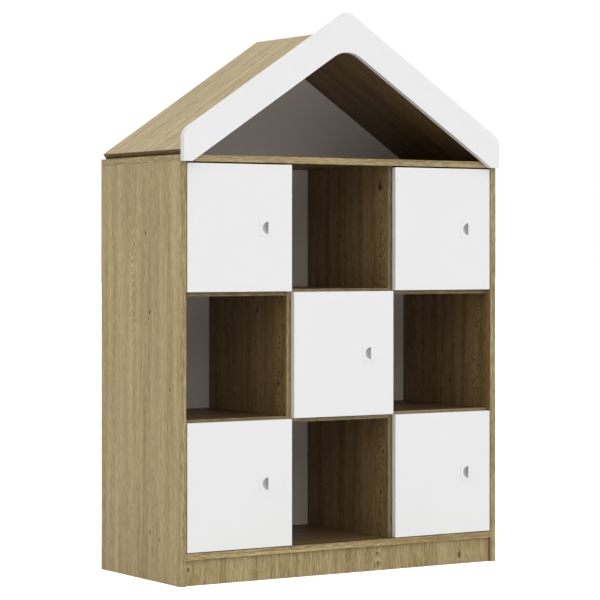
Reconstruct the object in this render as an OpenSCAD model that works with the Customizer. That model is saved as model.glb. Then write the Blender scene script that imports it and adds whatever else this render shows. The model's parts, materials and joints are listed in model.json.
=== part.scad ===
// House shaped bookcase for a child's room: an oak-look cabinet of three columns and three
// rows, five white doors set in a chequer pattern, and a pitched roof with a white gable front.
// Lengths are in millimetres. +X points right as seen from the front, +Y to the back, +Z up.
// The origin is on the floor, under the middle of the whole outline.

/* [Cabinet] */
// Outside width of the cabinet
cabinet_w = 1052; // [960:1:1200]
// Depth of the side panels, top board and roof panels
cabinet_d = 453; // [400:1:560]
// Height from the floor to the upper face of the top board
cabinet_h = 1160; // [1080:1:1300]
// Thickness of every oak-look board
board_t = 18; // [16:0.5:22]
// Height of the plinth below the bottom board
plinth_h = 70; // [50:1:110]
// How far the front plinth stands back from the front edges
plinth_recess = 9; // [2:1:30]
// Clear width of the middle column
middle_w = 322; // [280:1:360]

/* [Back panels] */
// Thickness of the back panels
back_t = 3; // [2.5:0.1:5]
// Distance from the rear edges to the rear face of the back panels
back_setback = 7; // [4:1:16]
// Depth of the grooves that hold the back panels
groove_depth = 6; // [4:0.5:8]
// Play of a back panel in its groove
groove_play = 0.2; // [0.1:0.1:0.5]
// Gap between a back panel's edge and the bottom of its groove
groove_end_gap = 1; // [0.5:0.5:2]
// Gap at each seam between two back panels, behind a divider
back_seam = 1; // [0.5:0.5:3]
// Distance from the middle of a divider to the nails at each side of a seam
nail_in = 4.5; // [3:0.5:6]

/* [Doors] */
// Thickness of a door
door_t = 16; // [15:0.5:18]
// Gap between a door and the front edges of the dividers and shelves
door_back_gap = 3; // [2.8:0.1:5]
// Gap between an outer door and the side panel
door_side_gap = 3; // [2.8:0.1:4]
// How far an outer door laps over its divider
door_overlap = 6; // [4:0.5:6]
// How far a shelf lies below the middle of the gap between its two doors
shelf_drop = 2; // [0:0.5:2]
// How far the centre door laps over each divider
centre_overlap = 5; // [4:0.5:6]
// Gap below the bottom doors
bottom_gap = 2; // [1:0.5:4]
// Gap between two rows of doors
door_gap = 2; // [1.5:0.5:4]
// Gap above the top doors
top_gap = 4; // [1:0.5:6]

/* [Finger pull] */
// Side of the square face plate
pull_side = 46; // [45.8:0.1:56]
// Radius of the face plate's corners
pull_corner_r = 6; // [2:0.5:10]
// How far the face plate stands in front of the door
pull_proud = 1.2; // [0.6:0.1:2]
// Distance from the middle of the face plate to the middle of the cup behind it
cup_aside = 2.8; // [0:0.1:2.8]
// Outer radius of the cup behind the face plate
pull_r = 20; // [19.5:0.1:20]
// Depth of the cup in the door
pull_depth = 12; // [11:0.5:13]
// Radius of the half-moon mouth
mouth_r = 17; // [14:0.5:17.5]
// Distance from the cup's centre to the flat edge of the mouth
mouth_flat = 1.5; // [0:0.5:5]
// Thickness of the lip that the fingers hook behind, with the face plate
lip_t = 2.2; // [2:0.1:2.5]
// Radius of the scooped bowl behind the lip
bowl_r = 23; // [22:0.5:24]
// Depth of the bowl at its middle, from the door's face
bowl_depth = 10.5; // [9.5:0.1:10.5]
// Distance from the cup's centre to the free edge of the door
pull_in = 78.5; // [40:0.5:120]

/* [Roof] */
// Slope of the roof panels in degrees
roof_slope = 33.8; // [30:0.1:38]
// Distance from the cabinet's side to the foot of a roof panel
eave_in = 16; // [14:1:40]
// Distance from the rear edges to the rear face of the gable back panel
gable_setback = 18; // [6:1:60]
// Thickness of the gable back panel
gable_t = 18; // [16:0.5:22]
// Length cut off each sharp lower tip of the gable back panel
gable_trim = 12; // [6:1:30]

/* [Gable front] */
// Thickness of the gable front
fascia_t = 18; // [16:0.5:22]
// How much flatter than the roof the gable front's edges are, in degrees
fascia_flatter = 0.47; // [0:0.01:1.5]
// Width of the sloping band, square to its edges
fascia_band = 83.7; // [78:0.1:95]
// How far the gable front's peak, before rounding, stands above the inner ridge of the roof
fascia_rise = 68.6; // [62:0.1:72]
// Radius of the rounded peak
fascia_peak_r = 25; // [5:1:40]
// Radius of the two outer side corners
fascia_side_r = 38; // [5:1:45]
// Radius of the inner corner below the peak
fascia_inner_r = 80; // [40:1:100]

/* [System holes] */
// Radius of a system hole
hole_r = 2.5; // [2.5:0.1:2.6]
// Depth of a system hole
hole_depth = 7; // [7:0.1:7.5]
// Pitch of the holes in a row
hole_pitch = 32; // [30:1:34]
// Height of the first hole above the middle of the gap below it
hole_rise = 32; // [24:1:40]
// Least height that stays free above the last hole
hole_end_clear = 12; // [6:1:20]
// Distance from the dividers' front edges to the front row
hole_front_in = 37; // [35:1:40]
// Distance from the dividers' front edges to the two single holes
hole_mid_in = 163; // [140:1:180]
// Height of the upper single hole above the middle of the gap below it
hole_extra_rise = 207.5; // [200:0.5:215]
// Distance from the back panel to the rear row
hole_rear_in = 105; // [90:1:120]
// Number of holes below the two that carry the lower hinge of a door
holes_below_plate = 1; // [1:1:2]

/* [Hinges] */
// Distance from the hinge edge of a door to the hinge pin
pivot_in = 7.5; // [7.3:0.1:7.7]
// Radius of the hinge pin
pin_r = 1.25; // [1:0.05:1.35]
// Radial play of the arm's eye on the pin
pin_play = 0.05; // [0.02:0.01:0.1]
// Half the length of the hinge pin
pin_half = 9.7; // [8.5:0.1:9.8]
// Radius of the hinge cup
cup_r = 17.5; // [17:0.1:18]
// Distance from the hinge edge of a door to the cup
cup_edge = 3; // [2.8:0.1:3.3]
// Thickness of door that is left in front of the cup
cup_skin = 2.9; // [2.6:0.1:3]
// Wall thickness of the cup
cup_wall = 0.8; // [0.6:0.1:0.9]
// Thickness of the cup's bottom
cup_floor = 0.6; // [0.4:0.1:0.6]
// Radius of the cup's flange
flange_r = 19; // [18.5:0.1:19.5]
// Thickness of the flange
flange_t = 1; // [0.8:0.1:1.2]
// Radius of the flange's wings around their screws
wing_r = 6.5; // [5:0.5:7]
// Half the distance between the two screws of a cup
wing_z = 22.5; // [22:0.5:26]
// Distance from the cup's centre line to the wing screws, away from the hinge edge
wing_in = 9.5; // [8:0.5:10]
// Radius of the arm's eye
eye_r = 2.4; // [2.2:0.1:2.5]
// Gap between the arm's eye and the bottom of the cup
eye_gap = 0.4; // [0.3:0.1:0.5]
// Thickness of the ears that hold the hinge pin's two ends
ear_t = 1.5; // [1:0.1:2]
// Distance from the hinge pin to the edges of its ears
ear_reach = 2.5; // [2:0.1:3]
// Thickness of the arm's hook and of its upper side
hook_t = 2.2; // [1.8:0.1:2.4]
// Half the width of the hook
hook_half = 4; // [3:0.5:4.5]
// Distance from the hinge edge of a door to the riser of the hook
riser_in = 21.2; // [20.6:0.1:22]
// Gap between a door's back and the front end of the arm
arm_gap = 2.6; // [2.4:0.1:2.7]
// Distance from the hinge edge of a door to the open side of the arm
arm_in = 12; // [11.8:0.1:13]
// Half the width of the arm
arm_half = 7; // [6.5:0.5:7.5]
// Wall thickness of the arm's two cheeks and its front end
arm_wall = 1.4; // [1:0.1:1.6]
// Length of the arm behind the line of the plate screws
arm_tail = 22; // [18:1:26]
// Thickness of the mounting plate
plate_t = 2; // [1.6:0.1:2.6]
// Radius of the mounting plate's two ends
plate_r = 9; // [7:0.5:10]
// Play between the arm's cheeks and the plate's block
block_play = 0.3; // [0.2:0.1:0.5]
// Distance that the block ends short of the arm's front, and of its rear end
block_short = 4; // [2:1:8]
// Distance from the plate screws' line to the arm's clamp screw
clamp_back = 10; // [8:1:12]

/* [Fasteners] */
// Play of a fastener in its bore, all round
fastener_play = 0.05; // [0.02:0.01:0.1]
// Radius of a dowel
dowel_r = 4; // [3:0.5:4]
// Length of a dowel in the face of a board
dowel_face = 12; // [10:0.5:12.5]
// Length of a dowel in the edge of a board
dowel_edge = 18; // [14:1:25]
// Distance from a plinth's upper and lower edges to the dowels in its ends
plinth_dowel_in = 20; // [12:1:30]
// Distance from the cabinet's middle to the outer dowels on top of a plinth
plinth_dowel_out = 340; // [250:10:420]
// Distance from a base screw to the dowel beside it
base_dowel_step = 40; // [20:1:60]
// Distance from the cabinet's middle to the gable back panel's cam bolts in the top board
gable_bolt_out = 150; // [100:5:200]
// Distance from the cabinet's middle to the gable back panel's dowels in the top board
gable_dowel_out = 260; // [220:5:320]
// Share of the roof slope, from its foot, below the lower cam lock of the gable back panel
gable_lock_share = 0.3; // [0.2:0.05:0.4]
// Number of dowels between each roof panel and the gable front
fascia_dowels = 4; // [2:1:6]
// Radius of a cam lock
cam_r = 7.5; // [7:0.1:7.5]
// Height of a cam lock
cam_h = 12.5; // [12.5:0.1:13.5]
// Width of the crossed slot in a cam lock
cam_slot_w = 1.5; // [1:0.1:2]
// Depth of the crossed slot
cam_slot_depth = 1.2; // [0.8:0.1:1.5]
// Distance from a board's end to the middle of its cam lock
cam_reach = 34; // [24:1:34]
// Radius of a cam bolt's shank
bolt_r = 3.4; // [3:0.1:3.5]
// Radius of a cam bolt's thread
thread_r = 2.8; // [2.5:0.1:2.9]
// Length of a cam bolt's thread
thread_l = 10.5; // [9:0.5:12]
// Distance from the cabinet's front to the front fittings
fitting_front = 80; // [76:1:100]
// Distance from the cabinet's rear edges to the rear fittings
fitting_back = 73; // [60:1:85]
// Radius of a base screw's shank
base_screw_r = 2.9; // [2.5:0.1:3.2]
// Length of a base screw above the lower face of the bottom board
base_screw_l = 50; // [40:1:60]
// Radius of a base screw's head
base_head_r = 5; // [4:0.5:5.5]
// Height of a base screw's head
base_head_h = 3; // [2:0.5:4]
// Radius of a back nail
nail_r = 0.7; // [0.6:0.1:0.9]
// Length of a back nail below its head
nail_l = 22; // [16:1:25]
// Radius of a nail's head
nail_head_r = 2.2; // [1.8:0.1:2.5]
// Height of a nail's head
nail_head_h = 0.8; // [0.5:0.1:1]
// Largest distance between two nails along a board
nail_pitch = 180; // [120:10:240]
// Radius of a plate screw's shank, which sits in a system hole
euro_r = 2.45; // [2.4:0.01:2.48]
// Length of a plate screw in its system hole
euro_l = 6.8; // [6:0.1:6.9]
// Radius of a plate screw's head
euro_head_r = 3.5; // [3:0.1:4]
// Height of a plate screw's head
euro_head_h = 1.8; // [1.2:0.1:2]
// Radius of the arm's clamp screw
clamp_r = 2.5; // [2:0.1:2.8]
// Length of the arm's clamp screw below its head
clamp_l = 9; // [7:0.5:10]
// Radius of the clamp screw's head
clamp_head_r = 4; // [3.5:0.1:4.5]
// Radius of a cup screw's shank
wood_screw_r = 1.75; // [1.5:0.05:2]
// Length of a cup screw below its head
wood_screw_l = 11; // [9:0.5:12]
// Radius of a cup screw's head
wood_head_r = 3.4; // [3:0.1:3.8]
// Height of a cup screw's head
wood_head_h = 1.4; // [1:0.1:1.6]
// Radius of a door bumper
bumper_r = 2.6; // [2.2:0.1:2.7]
// Gap between a closed door's bumper and the board behind it
bumper_gap = 0.3; // [0.2:0.1:0.5]
// Distance from a door's upper or lower edge to the bumper's middle
bumper_in = 3.2; // [3:0.1:3.3]
// Distance from a door's free edge to the nearest bumper
bumper_edge_in = 30; // [20:1:60]

/* [Hidden] */
$fn = 48;

// Finishes, as they look in even light
oak_colour = [0.66, 0.57, 0.42];
white_colour = [0.93, 0.93, 0.92];
back_colour = [0.82, 0.81, 0.79];
steel_colour = [0.72, 0.73, 0.75];
zinc_colour = [0.62, 0.63, 0.64];
beech_colour = [0.80, 0.66, 0.46];
rubber_colour = [0.85, 0.86, 0.86];

// A cut runs this far past the face that it opens
over = 1;
// Steps along a rounded corner of the gable front
arc_steps = 12;

// Places along the depth: the front and rear of the cabinet, and what stands between them
rows = 3;
front_y = fascia_t - (cabinet_d + fascia_t) / 2;
rear_y = front_y + cabinet_d;
inner_front_y = front_y + door_t + door_back_gap;
back_y = rear_y - back_setback - back_t;
gable_y = rear_y - gable_setback - gable_t;
fitting_ys = [front_y + fitting_front, rear_y - fitting_back];
middle_y = (fitting_ys[0] + fitting_ys[1]) / 2;

// Places across the width
side_x = cabinet_w / 2;
inner_x = side_x - board_t;
divider_x = (middle_w + board_t) / 2;
outer_column_w = inner_x - divider_x - board_t / 2;

// Places along the height
bottom_z = plinth_h + board_t;
ceiling_z = cabinet_h - board_t;
door_h = (ceiling_z - bottom_z - bottom_gap - top_gap - (rows - 1) * door_gap) / rows;
row_pitch = door_h + door_gap;
datum_z = bottom_z + bottom_gap - door_gap / 2;
shelf_zs = [for (r = [1 : rows - 1]) datum_z + r * row_pitch - shelf_drop];
bottom_mid_z = plinth_h + board_t / 2;

// Doors: column from -1 to 1, and row from 0 at the bottom
bottom_left = [-1, 0];
bottom_right = [1, 0];
centre = [0, 1];
top_left = [-1, 2];
top_right = [1, 2];
doors = [top_left, top_right, centre, bottom_left, bottom_right];
outer_door_w = outer_column_w - door_side_gap + door_overlap;
function is_centre(d) = d[0] == 0;
function door_w(d) = is_centre(d) ? middle_w + 2 * centre_overlap : outer_door_w;
function door_x(d) = is_centre(d) ? -middle_w / 2 - centre_overlap
  : d[0] < 0 ? -inner_x + door_side_gap
  : divider_x + board_t / 2 - door_overlap;
function door_z(d) = bottom_z + bottom_gap + d[1] * row_pitch;
// The carcass face that carries a door's hinges, measured from the door's hinge edge
function face_in(d) = is_centre(d) ? centre_overlap : d[0] < 0 ? -door_side_gap : door_overlap;

// System holes: each row of doors has the same set
hole_count = floor((row_pitch - board_t / 2 - hole_rise - hole_end_clear) / hole_pitch) + 1;
hole_front_y = inner_front_y + hole_front_in;
hole_mid_y = inner_front_y + hole_mid_in;
hole_rear_y = back_y - hole_rear_in;
row_rises = [for (k = [0 : hole_count - 1]) hole_rise + k * hole_pitch];
mid_rises = [hole_rise, hole_extra_rise];
hole_places = [for (r = [0 : rows - 1]) each concat(
  [for (y = [hole_front_y, hole_rear_y], h = row_rises) [y, datum_z + r * row_pitch + h]],
  [for (y = [hole_front_y, hole_rear_y]) [y, datum_z + r * row_pitch + hole_extra_rise]],
  [for (h = mid_rises) [hole_mid_y, datum_z + r * row_pitch + h]])];

// A hinge plate sits midway between two neighbouring holes of the front row
lower_plate_holes = holes_below_plate + 0.5;
hinge_rises = [for (k = [lower_plate_holes, hole_count - 1 - lower_plate_holes])
  hole_rise + k * hole_pitch];
function hinge_zs(d) = [for (h = hinge_rises) datum_z + d[1] * row_pitch + h];
plate_back = hole_front_y - front_y;
cup_in = cup_edge + cup_r;
pivot_back = cup_skin + cup_floor + eye_gap + eye_r;
arm_front = door_t + arm_gap;
arm_rear = plate_back + arm_tail;

// Roof: the inner face of each panel runs from its foot on the top board to the ridge
foot_x = side_x - eave_in;
roof_l = foot_x / cos(roof_slope);
ridge_z = cabinet_h + foot_x * tan(roof_slope);

// Gable front: virtual corners before rounding
fascia_slope = roof_slope - fascia_flatter;
fascia_top_z = ridge_z + fascia_rise;
fascia_in_z = fascia_top_z - fascia_band / cos(fascia_slope);
fascia_foot_x = (fascia_in_z - ceiling_z) / tan(fascia_slope);
fascia_foot_mid_x = side_x - (side_x - fascia_foot_x) / 2;

// A fitting is [point on the joint face, turn, spin]: its own z then points from the board
// that takes the thread into the board that holds the lock, and its own x to the lock's face.
to_right = [0, 90, 0];
to_left = [0, 90, 180];
upward = [0, 0, 0];
down = [180, 0, 0];
down_flipped = [0, 180, 0];
into_gable = [0, 180 - roof_slope, 0];
function away(s) = s > 0 ? to_right : to_left;
// A point on the left roof panel's inner face, as a share of its length
function on_roof(share) = [-foot_x * (1 - share), cabinet_h + foot_x * share * tan(roof_slope)];

gable_mid_y = gable_y + gable_t / 2;
gable_lock_shares = [gable_lock_share, 1 - gable_lock_share];
gable_dowel_at = on_roof(0.5);

end_fittings = [for (z = concat([bottom_mid_z], shelf_zs), y = fitting_ys, s = [-1, 1])
  [[s * inner_x, y, z], away(-s), 0]];
top_fittings = [for (y = fitting_ys) each concat(
  [for (x = [-inner_x - board_t / 2, -divider_x, divider_x]) [[x, y, ceiling_z], down, 0]],
  [[[inner_x + board_t / 2, y, ceiling_z], down_flipped, 0]])];
gable_base_fittings =
  [for (s = [-1, 1]) [[s * gable_bolt_out, gable_mid_y, cabinet_h], upward, 90]];
gable_slope_fittings = [for (share = gable_lock_shares)
  [[on_roof(share)[0], gable_mid_y, on_roof(share)[1]], into_gable, 90]];
divider_fittings = [for (z = shelf_zs, y = fitting_ys, d = [-1, 1], s = [-1, 1])
  [[d * divider_x + s * board_t / 2, y, z], away(s), 0]];
divider_bolts = [for (z = shelf_zs, y = fitting_ys, d = [-1, 1]) [d * divider_x, y, z]];

// A dowel is [point on the joint face, turn, length before the face, length behind it]
through = board_t / 2 + dowel_edge;
plinth_ys = [front_y + plinth_recess + board_t / 2, back_y - board_t / 2];
plinth_dowel_zs = [plinth_dowel_in, plinth_h - plinth_dowel_in];
base_dowel_ys = [fitting_ys[0] + base_dowel_step, fitting_ys[1] - base_dowel_step];
board_dowels = concat(
  [for (z = concat([bottom_mid_z], shelf_zs), s = [-1, 1])
    [[s * inner_x, middle_y, z], away(-s), dowel_face, dowel_edge]],
  [for (z = shelf_zs, d = [-1, 1]) [[d * divider_x, middle_y, z], to_right, through, through]],
  [for (d = [-1, 1], y = base_dowel_ys)
    [[d * divider_x, y, bottom_z], upward, dowel_face, dowel_edge]],
  [for (x = [-inner_x - board_t / 2, -divider_x, divider_x, inner_x + board_t / 2])
    [[x, middle_y, ceiling_z], down, dowel_face, dowel_edge]],
  [for (y = plinth_ys, z = plinth_dowel_zs, s = [-1, 1])
    [[s * inner_x, y, z], away(-s), dowel_face, dowel_edge]],
  [for (y = plinth_ys, x = [-plinth_dowel_out, 0, plinth_dowel_out])
    [[x, y, plinth_h], down, dowel_face, dowel_edge]]);
gable_dowels = [for (s = [-1, 1])
  [[s * gable_dowel_out, gable_mid_y, cabinet_h], upward, dowel_face, dowel_edge]];
to_back = [-90, 0, 0];
fascia_foot_dowels = [for (s = [-1, 1])
  [[s * fascia_foot_mid_x, front_y, cabinet_h - board_t / 2], to_back, dowel_face, dowel_edge]];
// These lie on the left roof panel and are mirrored to the right one
slope_dowels = concat(
  [[[gable_dowel_at[0], gable_mid_y, gable_dowel_at[1]], into_gable, dowel_face, dowel_edge]],
  [for (i = [0 : fascia_dowels - 1])
    let (p = on_roof((i + 0.5) / fascia_dowels))
    [[p[0] - board_t / 2 * sin(roof_slope), front_y, p[1] + board_t / 2 * cos(roof_slope)], to_back,
      dowel_face, dowel_edge]]);

// Back panels: seams lie behind the dividers' middles
back_edge_x = inner_x + groove_depth - groove_end_gap;
back_low_z = plinth_h;
back_high_z = ceiling_z + groove_depth - groove_end_gap;
nail_rows = ceil((back_high_z - back_low_z) / nail_pitch);
nail_zs = [for (i = [0 : nail_rows - 1]) bottom_z + (ceiling_z - bottom_z) * (i + 0.5) / nail_rows];
nail_places = concat(
  [for (z = nail_zs, d = [-1, 1], s = [-1, 1]) [d * divider_x + s * nail_in, z]],
  [for (x = [-1, 0, 1], s = [-1, 1]) [x * (divider_x + inner_x) / 2 + s * middle_w / 4, bottom_mid_z]]);

// ---- shared shapes ----

// A block between two corners
module block(low, high) {
  translate(low) cube(high - low);
}

// Bring children from a fitting's own axes to its place
module seated(fitting) {
  translate(fitting[0]) rotate(fitting[1]) rotate([0, 0, fitting[2]]) children();
}

module dowel(place, play = 0) {
  translate(place[0]) rotate(place[1]) translate([0, 0, -place[2] - play])
    cylinder(r = dowel_r + play, h = place[2] + place[3] + 2 * play);
}

module single_bolt(play = 0) {
  translate([0, 0, -thread_l - play]) cylinder(r = thread_r + play, h = thread_l + 2 * play);
  cylinder(r = bolt_r + play, h = cam_reach + play);
}

module double_bolt(play = 0) {
  rotate(to_right) cylinder(r = bolt_r + play, h = board_t + 2 * (cam_reach + play), center = true);
}

module cam_space(play = 0) {
  translate([board_t / 2 - cam_h - play, 0, cam_reach]) rotate(to_right)
    cylinder(r = cam_r + play, h = cam_h + play + (play > 0 ? over : 0));
}

// One lock with the cavity that swallows the bolt's head and a crossed slot for the driver
module cam_lock() {
  slot_l = cam_r;
  difference() {
    cam_space();
    translate([0, 0, cam_reach - cam_r - over])
      cylinder(r = bolt_r + 2 * fastener_play, h = cam_r + over + fastener_play);
    translate([board_t / 2, 0, cam_reach]) {
      cube([2 * cam_slot_depth, slot_l, cam_slot_w], center = true);
      cube([2 * cam_slot_depth, cam_slot_w, slot_l], center = true);
    }
  }
}

// Every bore for the fittings and dowels of the cabinet
module cabinet_bores() {
  for (f = concat(end_fittings, top_fittings, gable_base_fittings))
    seated(f) single_bolt(fastener_play);
  for (f = concat(end_fittings, top_fittings, divider_fittings))
    seated(f) cam_space(fastener_play);
  for (p = divider_bolts) translate(p) double_bolt(fastener_play);
  for (p = concat(board_dowels, gable_dowels, fascia_foot_dowels)) dowel(p, fastener_play);
}

// Every bore of the left roof slope
module slope_bores() {
  for (f = gable_slope_fittings) seated(f) single_bolt(fastener_play);
  for (f = gable_slope_fittings) seated(f) cam_space(fastener_play);
  for (p = slope_dowels) dowel(p, fastener_play);
}

module gable_base_bores() {
  for (f = gable_base_fittings) seated(f) single_bolt(fastener_play);
  for (f = gable_base_fittings) seated(f) cam_space(fastener_play);
  for (p = gable_dowels) dowel(p, fastener_play);
}

// The blind system holes of one face at x, drilled towards dir
module system_holes(x, dir) {
  for (p = hole_places)
    translate([x - dir * over, p[0], p[1]]) rotate([0, dir * 90, 0])
      cylinder(r = hole_r, h = hole_depth + over);
}

module base_screw(x, y, play = 0) {
  translate([x, y, plinth_h]) cylinder(r = base_screw_r + play, h = base_screw_l + play);
  translate([x, y, plinth_h - (play > 0 ? over : 0)])
    cylinder(r = base_head_r + play, h = base_head_h + play + (play > 0 ? over : 0));
}

module base_screw_bores() {
  for (d = [-1, 1], y = fitting_ys) base_screw(d * divider_x, y, fastener_play);
}

module nail(x, z, play = 0) {
  translate([x, back_y + back_t + play, z]) rotate([90, 0, 0])
    cylinder(r = nail_r + play, h = nail_l + 2 * play);
}

module nail_bores() {
  for (p = nail_places) nail(p[0], p[1], fastener_play);
}

// The space of the back panels' grooves, between two heights
module groove(low_z, high_z) {
  edge_x = inner_x + groove_depth;
  block([-edge_x, back_y, low_z], [edge_x, back_y + back_t + groove_play, high_z]);
}

// ---- cabinet boards ----

module side_panel(side) {
  color(oak_colour) difference() {
    block([min(side * inner_x, side * side_x), front_y, 0],
      [max(side * inner_x, side * side_x), rear_y, ceiling_z]);
    groove(-over, ceiling_z + over);
    system_holes(side * inner_x, side);
    cabinet_bores();
  }
}

module top_board() {
  color(oak_colour) difference() {
    block([-side_x, front_y, ceiling_z], [side_x, rear_y, cabinet_h]);
    groove(ceiling_z - over, ceiling_z + groove_depth);
    cabinet_bores();
  }
}

module bottom_board() {
  color(oak_colour) difference() {
    block([-inner_x, front_y, plinth_h], [inner_x, back_y, bottom_z]);
    cabinet_bores();
    base_screw_bores();
    nail_bores();
  }
}

module plinth(middle) {
  color(oak_colour) difference() {
    block([-inner_x, middle - board_t / 2, 0], [inner_x, middle + board_t / 2, plinth_h]);
    cabinet_bores();
  }
}

module divider(side) {
  middle = side * divider_x;
  color(oak_colour) difference() {
    block([middle - board_t / 2, inner_front_y, bottom_z], [middle + board_t / 2, back_y, ceiling_z]);
    system_holes(middle - board_t / 2, 1);
    system_holes(middle + board_t / 2, -1);
    cabinet_bores();
    base_screw_bores();
    nail_bores();
  }
}

// One short shelf board; column runs from -1 to 1
module shelf(column, middle_z) {
  low_x = column == 0 ? -middle_w / 2 : column < 0 ? -inner_x : divider_x + board_t / 2;
  high_x = column == 0 ? middle_w / 2 : column < 0 ? -divider_x - board_t / 2 : inner_x;
  color(oak_colour) difference() {
    block([low_x, inner_front_y, middle_z - board_t / 2], [high_x, back_y, middle_z + board_t / 2]);
    cabinet_bores();
  }
}

module back_panel(column) {
  seam_x = divider_x - back_seam / 2;
  low_x = column == 0 ? -seam_x : column < 0 ? -back_edge_x : seam_x + back_seam;
  high_x = column == 0 ? seam_x : column < 0 ? -seam_x - back_seam : back_edge_x;
  color(back_colour) difference() {
    block([low_x, back_y, back_low_z], [high_x, back_y + back_t, back_high_z]);
    nail_bores();
  }
}

// ---- roof and gable ----

module roof_slab() {
  difference() {
    translate([-foot_x, front_y, cabinet_h]) rotate([0, -roof_slope, 0])
      cube([roof_l, cabinet_d, board_t]);
    slope_bores();
  }
}

module roof_panel(side) {
  color(oak_colour) mirror([side > 0 ? 1 : 0, 0, 0]) roof_slab();
}

module gable_back_panel() {
  tip_x = foot_x - gable_trim;
  tip_z = gable_trim * tan(roof_slope);
  color(white_colour) difference() {
    translate([0, gable_y + gable_t, cabinet_h]) rotate([90, 0, 0]) linear_extrude(gable_t)
      polygon([[-tip_x, 0], [tip_x, 0], [tip_x, tip_z], [0, ridge_z - cabinet_h], [-tip_x, tip_z]]);
    gable_base_bores();
    slope_bores();
    mirror([1, 0, 0]) slope_bores();
  }
}

// Points on an arc round a middle, from one direction to another
function arc(middle, r, from, to) = [for (k = [0 : arc_steps])
  let (a = from + (to - from) * k / arc_steps) middle + r * [cos(a), sin(a)]];

// A peak between two slopes that meet at [0, top], rounded with radius r. It reaches half_w
// to each side and down to base, and its side corners are rounded where side_r is over 0.
module peak(top, half_w, base, slope, r, side_r = 0) {
  eave = top - half_w * tan(slope);
  side_cut = side_r * tan((90 - slope) / 2);
  crown = arc([0, top - r / cos(slope)], r, 90, 90 - slope);
  shoulder = side_r > 0 ? arc([half_w - side_r, eave - side_cut], side_r, 90 - slope, 0)
    : [[half_w, eave]];
  right = concat(crown, shoulder, [[half_w, base]]);
  polygon(concat(right, [for (i = [len(right) - 1 : -1 : 1]) [-right[i][0], right[i][1]]]));
}

module gable_fascia() {
  color(white_colour) difference() {
    translate([0, front_y, 0]) rotate([90, 0, 0]) linear_extrude(fascia_t) difference() {
      peak(fascia_top_z, side_x, ceiling_z, fascia_slope, fascia_peak_r, fascia_side_r);
      peak(fascia_in_z, fascia_foot_x, ceiling_z - over, fascia_slope, fascia_inner_r);
    }
    for (p = fascia_foot_dowels) dowel(p, fastener_play);
    slope_bores();
    mirror([1, 0, 0]) slope_bores();
  }
}

// ---- fasteners of the cabinet ----

module cam_locks() {
  color(zinc_colour) {
    for (f = concat(end_fittings, top_fittings, divider_fittings, gable_base_fittings))
      seated(f) cam_lock();
    for (f = gable_slope_fittings, m = [0, 1]) mirror([m, 0, 0]) seated(f) cam_lock();
  }
}

module cam_bolts() {
  color(steel_colour) {
    for (f = concat(end_fittings, top_fittings, gable_base_fittings))
      seated(f) single_bolt();
    for (f = gable_slope_fittings, m = [0, 1]) mirror([m, 0, 0]) seated(f) single_bolt();
  }
}

module double_cam_bolts() {
  color(steel_colour) for (p = divider_bolts) translate(p) double_bolt();
}

module dowels() {
  color(beech_colour) {
    for (p = concat(board_dowels, gable_dowels, fascia_foot_dowels)) dowel(p);
    for (p = slope_dowels, m = [0, 1]) mirror([m, 0, 0]) dowel(p);
  }
}

module base_screws() {
  color(steel_colour) for (d = [-1, 1], y = fitting_ys) base_screw(d * divider_x, y);
}

module back_nails() {
  color(zinc_colour) for (p = nail_places) {
    nail(p[0], p[1]);
    translate([p[0], back_y + back_t + nail_head_h, p[1]]) rotate([90, 0, 0])
      cylinder(r = nail_head_r, h = nail_head_h);
  }
}

// ---- hinges: drawn from the hinge edge of a door, its front face and the hinge's middle ----

module at_hinges(d) {
  for (z = hinge_zs(d)) translate([door_x(d), front_y, z]) children();
}

// A flat outline in the plane of the door's edge and thickness, made thick along z
module upright(half) {
  translate([0, 0, -half]) linear_extrude(2 * half) children();
}

module arm() {
  bar_low = pivot_back - hook_t;
  difference() {
    union() {
      upright(hook_half) {
        translate([pivot_in, pivot_back]) circle(r = eye_r);
        translate([pivot_in, bar_low]) square([riser_in + hook_t - pivot_in, hook_t]);
        translate([riser_in, bar_low]) square([hook_t, arm_front - bar_low + arm_wall]);
      }
      block([arm_in, arm_front, -arm_half], [riser_in + hook_t, arm_rear, arm_half]);
    }
    block([arm_in - over, arm_front + arm_wall, -arm_half + arm_wall],
      [riser_in, arm_rear + over, arm_half - arm_wall]);
    upright(hook_half + over) translate([pivot_in, pivot_back]) circle(r = pin_r + pin_play);
    translate([riser_in - over, plate_back + clamp_back, 0]) rotate(to_right)
      cylinder(r = clamp_r + 2 * fastener_play, h = hook_t + 2 * over);
  }
}

// The plate on the carcass face at face, with the block that the arm is clamped to
module plate(face) {
  block_half = arm_half - arm_wall - block_play;
  difference() {
    union() {
      translate([face, plate_back, 0]) rotate(to_right) linear_extrude(plate_t) {
        square([hole_pitch, 2 * plate_r], center = true);
        for (s = [-1, 1]) translate([s * hole_pitch / 2, 0]) circle(r = plate_r);
      }
      block([face, plate_back - plate_r + block_short, -block_half],
        [riser_in, arm_rear - block_short, block_half]);
    }
    for (s = [-1, 1]) translate([face - over, plate_back, s * hole_pitch / 2]) rotate(to_right)
      cylinder(r = euro_r + fastener_play, h = plate_t + 2 * over);
    translate([riser_in + over, plate_back + clamp_back, 0]) rotate([0, -90, 0])
      cylinder(r = clamp_r + fastener_play, h = clamp_l + over);
  }
}

module plate_fixings(face) {
  for (s = [-1, 1]) translate([face + plate_t, plate_back, s * hole_pitch / 2]) {
    rotate([0, -90, 0]) cylinder(r = euro_r, h = plate_t + euro_l);
    rotate(to_right) cylinder(r = euro_head_r, h = euro_head_h);
  }
  translate([riser_in + hook_t, plate_back + clamp_back, 0]) {
    rotate([0, -90, 0]) cylinder(r = clamp_r, h = clamp_l);
    rotate(to_right) cylinder(r = clamp_head_r, h = euro_head_h);
  }
}

module hinge_plates() {
  color(zinc_colour) for (d = doors) at_hinges(d) plate(face_in(d));
}

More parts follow.
